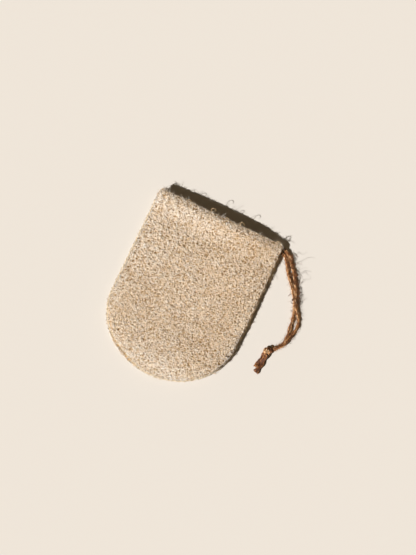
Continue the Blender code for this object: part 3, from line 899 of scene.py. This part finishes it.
# Where they cross above the eye they are drawn thin and lie flat
pinch = dict(y=0.047, reach=0.015, thin=0.22, settle=0.5)
innerRun = (
    (0.0665, 0.0905, 0.0037), (0.0735, 0.0913, 0.0037), (0.0792, 0.0912, 0.0033), (0.0838, 0.0893, 0.0025),
    (0.0866, 0.0866, 0.0018), (0.0901, 0.0820, 0.0017), (0.0933, 0.0764, 0.0017), (0.0972, 0.0712, 0.0017),
    (0.1018, 0.0660, 0.0017), (0.1060, 0.0612, 0.0017), (0.1096, 0.0563, 0.0017), (0.1130, 0.0511, 0.0017),
    (0.1160, 0.0457, 0.0017), (0.1186, 0.0403, 0.0017), (0.1206, 0.0355, 0.0017), (0.1222, 0.0303, 0.0017),
    (0.1236, 0.0228, 0.0017), (0.1247, 0.0153, 0.0017), (0.1255, 0.0085, 0.0017), (0.1256, 0.0040, 0.0017),
    (0.1250, -0.0002, 0.0017), (0.1234, -0.0042, 0.0017), (0.1208, -0.0080, 0.0017), (0.1180, -0.0110, 0.0019),
    (0.1157, -0.0131, 0.0022),
)
outerRun = (
    (0.0665, 0.0950, 0.0038), (0.0740, 0.0957, 0.0039), (0.0805, 0.0956, 0.0037), (0.0862, 0.0932, 0.0029),
    (0.0905, 0.0890, 0.0020), (0.0951, 0.0837, 0.0017), (0.0994, 0.0788, 0.0017), (0.1030, 0.0740, 0.0017),
    (0.1059, 0.0695, 0.0017), (0.1086, 0.0650, 0.0021), (0.1111, 0.0604, 0.0033), (0.1134, 0.0556, 0.0045),
    (0.1156, 0.0508, 0.0051), (0.1177, 0.0460, 0.0052), (0.1202, 0.0414, 0.0051), (0.1236, 0.0372, 0.0043),
    (0.1270, 0.0330, 0.0026), (0.1297, 0.0283, 0.0017), (0.1311, 0.0225, 0.0017), (0.1306, 0.0153, 0.0019),
    (0.1290, 0.0088, 0.0034), (0.1273, 0.0040, 0.0050), (0.1262, -0.0002, 0.0053), (0.1246, -0.0040, 0.0054),
    (0.1221, -0.0076, 0.0055), (0.1195, -0.0106, 0.0056), (0.1171, -0.0130, 0.0057),
)
innerEnd = (
    (0.1107, -0.0212, 0.0027), (0.1100, -0.0262, 0.0019), (0.1092, -0.0325, 0.0017), (0.1079, -0.0372, 0.0017),
    (0.1074, -0.0412, 0.0017),
)
outerEnd = (
    (0.1122, -0.0214, 0.0042), (0.1125, -0.0262, 0.0027), (0.1124, -0.0325, 0.0017), (0.1118, -0.0380, 0.0017),
    (0.1109, -0.0430, 0.0017), (0.1100, -0.0468, 0.0017),
)


def smoothRoute(points, step):
    # places about a step apart on a smooth curve through the points
    p = np.array(points)
    p = np.concatenate([[2 * p[0] - p[1]], p, [2 * p[-1] - p[-2]]])
    t = np.linspace(0, 1, 24, endpoint=False)[:, None]
    fine = [
        0.5 * (2 * b + (c - a) * t + (2 * a - 5 * b + 4 * c - d) * t**2 + (3 * b - a - 3 * c + d) * t**3)
        for a, b, c, d in zip(p, p[1:], p[2:], p[3:])
    ]
    fine = np.concatenate([*fine, p[-2:-1]])
    along = np.concatenate([[0], np.cumsum(np.linalg.norm(np.diff(fine, axis=0), axis=1))])
    places = np.linspace(0, along[-1], max(int(round(along[-1] / step)), 2) + 1)
    return np.stack([np.interp(places, along, fine[:, k]) for k in range(3)], axis=1), along[-1]


def layString(rng, route, radius, tone=0.5, fray=0.0, frayLength=0.010, twist=1.0):
    # a laid string: plies wound round each other, each a core with loose fibres wound on it the other way.
    # radius, tone and twist are one number, or one for each place. fray spreads the fibres at the far end
    sides, ups = framesAlong(route)
    radius, tone, twist = (np.broadcast_to(value, len(route)) for value in (radius, tone, twist))
    step = np.linalg.norm(route[1] - route[0])
    along = np.arange(len(route)) * step
    length = along[-1]
    wound = np.cumsum(twist) * step
    scale = radius / string["radius"]
    paths, radii, tones = [], [], []
    for ply in range(string["plies"]):
        turn = tau * (wound / string["lay"] + ply / string["plies"])
        plyRadius = string["plyRadius"] * scale
        stripe = rng.uniform(0, tau)
        off = (radius - plyRadius)[:, None]
        middle = route + off * (np.cos(turn)[:, None] * sides + np.sin(turn)[:, None] * ups)
        for k in range(string["fibres"] + 1):
            core = k == string["fibres"]
            thick = plyRadius * 0.78 if core else string["fibreRadius"] * scale * rng.lognormal(0, 0.2)
            out = np.zeros(len(route))
            if not core:
                wave = np.sin(tau * (along / rng.uniform(0.008, 0.020) + rng.uniform()))
                out = plyRadius - thick * 0.8 + string["uneven"] * (rng.normal() + wave)
            wind = tau * ((k + rng.uniform(-0.3, 0.3)) / string["fibres"] - wound / string["fibreLay"])
            if fray:
                near = smooth((along - (length - frayLength)) / frayLength)
                out = out + fray * rng.uniform(0.1, 1.0) * near**1.5
            place = middle + out[:, None] * (np.cos(wind)[:, None] * sides + np.sin(wind)[:, None] * ups)
            stop = 1 - (rng.uniform(0, 0.1) * frayLength / length if fray and not core else 0)
            if fray and core:
                stop = 1 - 0.05 * frayLength / length
            shares = np.linspace(0, stop, len(route)) * (len(route) - 1)
            place = np.stack([np.interp(shares, np.arange(len(route)), place[:, a]) for a in range(3)], axis=1)
            place[:, 2] = np.maximum(place[:, 2], thick + 0.00005)
            ends = np.minimum(shares, shares[-1] - shares) * step
            paths.append(place)
            radii.append(thick * np.sqrt(np.clip(ends / 0.0012, 0, 1)))
            striped = string["toneStripes"] * math.sin(stripe + 2 * tau * k / string["fibres"])
            # a ply's core is drawn darker: painted shade where it shows between its fibres
            tones.append(tone - 0.3 if core else rng.normal(tone + striped, string["toneSpread"]))
    return paths, radii, tones


def stringPiece(name, laid):
    paths, radii, tones = (np.array(list(part)) for part in laid)
    return tubes(name, paths, radii, np.clip(tones, 0.02, 0.98), jute, sides=4)


rng = np.random.default_rng(31)
runs = {}
for name, points in (("stringInner", innerRun), ("stringOuter", outerRun)):
    route, length = smoothRoute(points, string["stepLength"])
    low = route[:, 2].min()
    near = np.exp(-(((route[:, 1] - pinch["y"]) / pinch["reach"]) ** 2))
    route[:, 2] = low + (route[:, 2] - low) * (string["settle"] - pinch["settle"] * near)
    thick = string["radius"] * (1 - pinch["thin"] * near)
    below = smooth((string["below"] - route[:, 1]) / 0.02)
    tone = string["tone"] + string["paler"] * near - string["darker"] * below
    laid = layString(rng, route, thick, tone, twist=1 - string["open"] * below)
    runs[name] = (stringPiece(name, laid), route, length)
print("string laid", [round(run[2], 4) for run in runs.values()])

# The knot: both runs go through it and out as the cut ends, with a turn of string wound round them
knotShape = dict(
    length=0.0122, turns=1.7, radius=0.0029, rise=0.0056, string=0.0020, tilt=0.0013, tuck=0.0009,
    tails=1.52,  # thickness of the cut ends against the string's
    tailTone=0.04,  # they are also darker
    fray=0.0012,
)


def makeKnot(rng):
    ends = [runs[name][1][-1] for name in ("stringInner", "stringOuter")]
    ways = [unit(runs[name][1][-1] - runs[name][1][-4]) for name in ("stringInner", "stringOuter")]
    along = unit(ways[0] + ways[1])
    centre = (ends[0] + ends[1]) / 2 + along * (knotShape["length"] / 2 + 0.0006)
    side = unit(np.cross(along, (0, 0, 1)))
    up = np.cross(side, along)
    parts = []
    for end, way, tail in zip(ends, ways, (innerEnd, outerEnd)):
        middle = centre * 0.6 + np.array(tail[0]) * 0.4
        route = smoothRoute([end + way * 0.0003, end + way * 0.0018, middle, *tail], string["stepLength"])[0]
        route = smoothRoute(route[:: 2], knotShape["length"] * 0.11)[0][:48]
        thick = string["radius"] * knotShape["tails"]
        parts.append(layString(rng, route, thick, knotShape["tailTone"], knotShape["fray"], twist=0.5))
    turns = knotShape["turns"]
    share = np.linspace(-0.08, 1.08, 40)
    angle = tau * turns * share + 0.6
    inward = np.clip((np.abs(share - 0.5) - 0.5) / 0.08, 0, 1)
    reach = knotShape["radius"] - (knotShape["radius"] - knotShape["tuck"]) * inward**1.5
    offset = knotShape["rise"] * (np.clip(share, 0, 1) - 0.5) + knotShape["tilt"] * np.sin(angle)
    coil = centre + reach[:, None] * (np.cos(angle)[:, None] * side + np.sin(angle)[:, None] * up)
    coil = smoothRoute(coil + offset[:, None] * along, 0.0007)[0]
    wrap = layString(rng, coil, knotShape["string"], 0.62, twist=0.6)
    pieces = [stringPiece("knotPart", laid) for laid in (*parts, wrap)]
    return joined("stringKnot", pieces)


stringKnot = makeKnot(rng)
print("knot tied")

# Loose hairs of the jute: short ones all along, and long curls where the string leaves the mitt
fuzz = dict(seed=41, shortCount=1200, shortLength=0.0026, longCount=80, longLength=0.020, radius=0.00010)


def rootsOnString(rng, count, spans):
    # places on the strings' surfaces, with the way out from each
    roots, ways = [], []
    for _ in range(count):
        name, low, high = spans[rng.integers(len(spans))]
        route = runs[name][1]
        k = int(rng.uniform(low, high) * (len(route) - 2)) + 1
        along = unit(route[k + 1] - route[k - 1])
        side = unit(np.cross(along, (0, 0, 1)))
        angle = rng.uniform(-0.35, math.pi + 0.35)
        way = math.cos(angle) * side + math.sin(angle) * np.cross(side, along)
        roots.append(route[k] + way * string["radius"] * 0.85)
        ways.append(way)
    return np.array(roots), np.array(ways)


def makeFuzz():
    rng = np.random.default_rng(fuzz["seed"])
    lowest = fuzz["radius"] * 4
    spans = (("stringInner", 0.12, 1.0), ("stringOuter", 0.12, 1.0))
    roots, ways = rootsOnString(rng, fuzz["shortCount"], spans)
    length = fuzz["shortLength"] * rng.lognormal(0, 0.4, (len(roots), 1))
    parts = [hairs(rng, roots, ways, length, 5, fuzz["radius"], 0.4, lowest)]
    spans = (("stringOuter", 0.16, 0.58),)
    roots, ways = rootsOnString(rng, fuzz["longCount"], spans)
    ways = ways + np.array((1.2, 0.6, 0.1))
    length = fuzz["longLength"] * rng.uniform(0.4, 1.1, (len(roots), 1))
    parts.append(hairs(rng, roots, ways, length, 16, fuzz["radius"] * 2.5, 0.15, lowest, 0.42))
    # the long curls are drawn dark brown: partly the hairs' own colour, partly painted shadow
    pieces = [
        tubes("fuzzPart", places, radii, np.clip(rng.normal(tone, 0.15, len(places)), 0.02, 0.98), jute)
        for (places, radii), tone in zip(parts, (0.4, 0.05))
    ]
    return joined("stringFuzz", pieces)


stringFuzz = makeFuzz()
addPiece(stringKnot, "string_knot")
addPiece(stringFuzz)
for name, node in (("stringInner", "string_inner_run"), ("stringOuter", "string_outer_run")):
    run, route, length = runs[name]
    addPiece(run, node)


# Floor, light and camera
def makeFloor():
    built = bmesh.new()
    bmesh.ops.create_grid(built, x_segments=1, y_segments=1, size=40.0)
    mesh = bpy.data.meshes.new("floor")
    built.to_mesh(mesh)
    built.free()
    mesh.materials.append(card)
    floor = bpy.data.objects.new("floor", mesh)
    bpy.context.scene.collection.objects.link(floor)


# The photograph is taken from straight above, and the mitt lies turned in it
view = dict(
    turn=25.338,  # degrees that the mitt is turned clockwise in the picture
    millimetresPerPixel=1.14,
    height=555,  # the picture's height in pixels
    centre=(0.01484, 0.02987, 0.005),  # the place at the picture's middle
    lens=85.0,
    sensor=36.0,
)


def makeCamera():
    frameHeight = view["height"] * view["millimetresPerPixel"] / 1000
    distance = frameHeight * view["lens"] / view["sensor"]
    data = bpy.data.cameras.new("camera")
    data.lens = view["lens"]
    data.sensor_width = data.sensor_height = view["sensor"]
    data.sensor_fit = "VERTICAL"
    data.clip_end = 100
    camera = bpy.data.objects.new("camera", data)
    camera.matrix_world = Matrix.Translation(Vector(view["centre"]) + Vector((0, 0, distance))) @ Matrix.Rotation(
        math.radians(view["turn"]), 4, "Z"
    )
    bpy.context.scene.collection.objects.link(camera)
    bpy.context.scene.camera = camera


# A lamp from the lower left of the picture, a warm fill from above, and a pale wall low all round
light = dict(
    way=(0.62, 0.785), elevation=42.0, strength=6.34, softness=0.5, fill=(0.0929, 0.0713, 0.0412),
    wall=(0.812, 0.731, 0.629),
)


def makeLight():
    data = bpy.data.lights.new("key", "SUN")
    data.energy = light["strength"]
    data.angle = math.radians(light["softness"])
    key = bpy.data.objects.new("key", data)
    flat = Vector(light["way"]).normalized() * math.cos(math.radians(light["elevation"]))
    way = Vector((flat.x, flat.y, -math.sin(math.radians(light["elevation"]))))
    key.rotation_euler = way.to_track_quat("-Z", "Y").to_euler()
    bpy.context.scene.collection.objects.link(key)
    world = bpy.data.worlds.new("studio")
    world.use_nodes = True
    tree = world.node_tree
    way = addNode(tree, "ShaderNodeTexCoord").outputs["Generated"]
    height = addNode(tree, "ShaderNodeSeparateXYZ", links={"Vector": way}).outputs["Z"]
    wall = addNode(tree, "ShaderNodeValToRGB", links={"Fac": height})
    for element, (place, colour) in zip(wall.color_ramp.elements, ((0.12, light["wall"]), (0.2, light["fill"]))):
        element.position = place
        element.color = (*colour, 1.0)
    tree.links.new(wall.outputs["Color"], tree.nodes["Background"].inputs["Color"])
    bpy.context.scene.world = world
    bpy.context.scene.view_settings.view_transform = "Standard"


makeFloor()
makeCamera()
makeLight()
print("stage set")
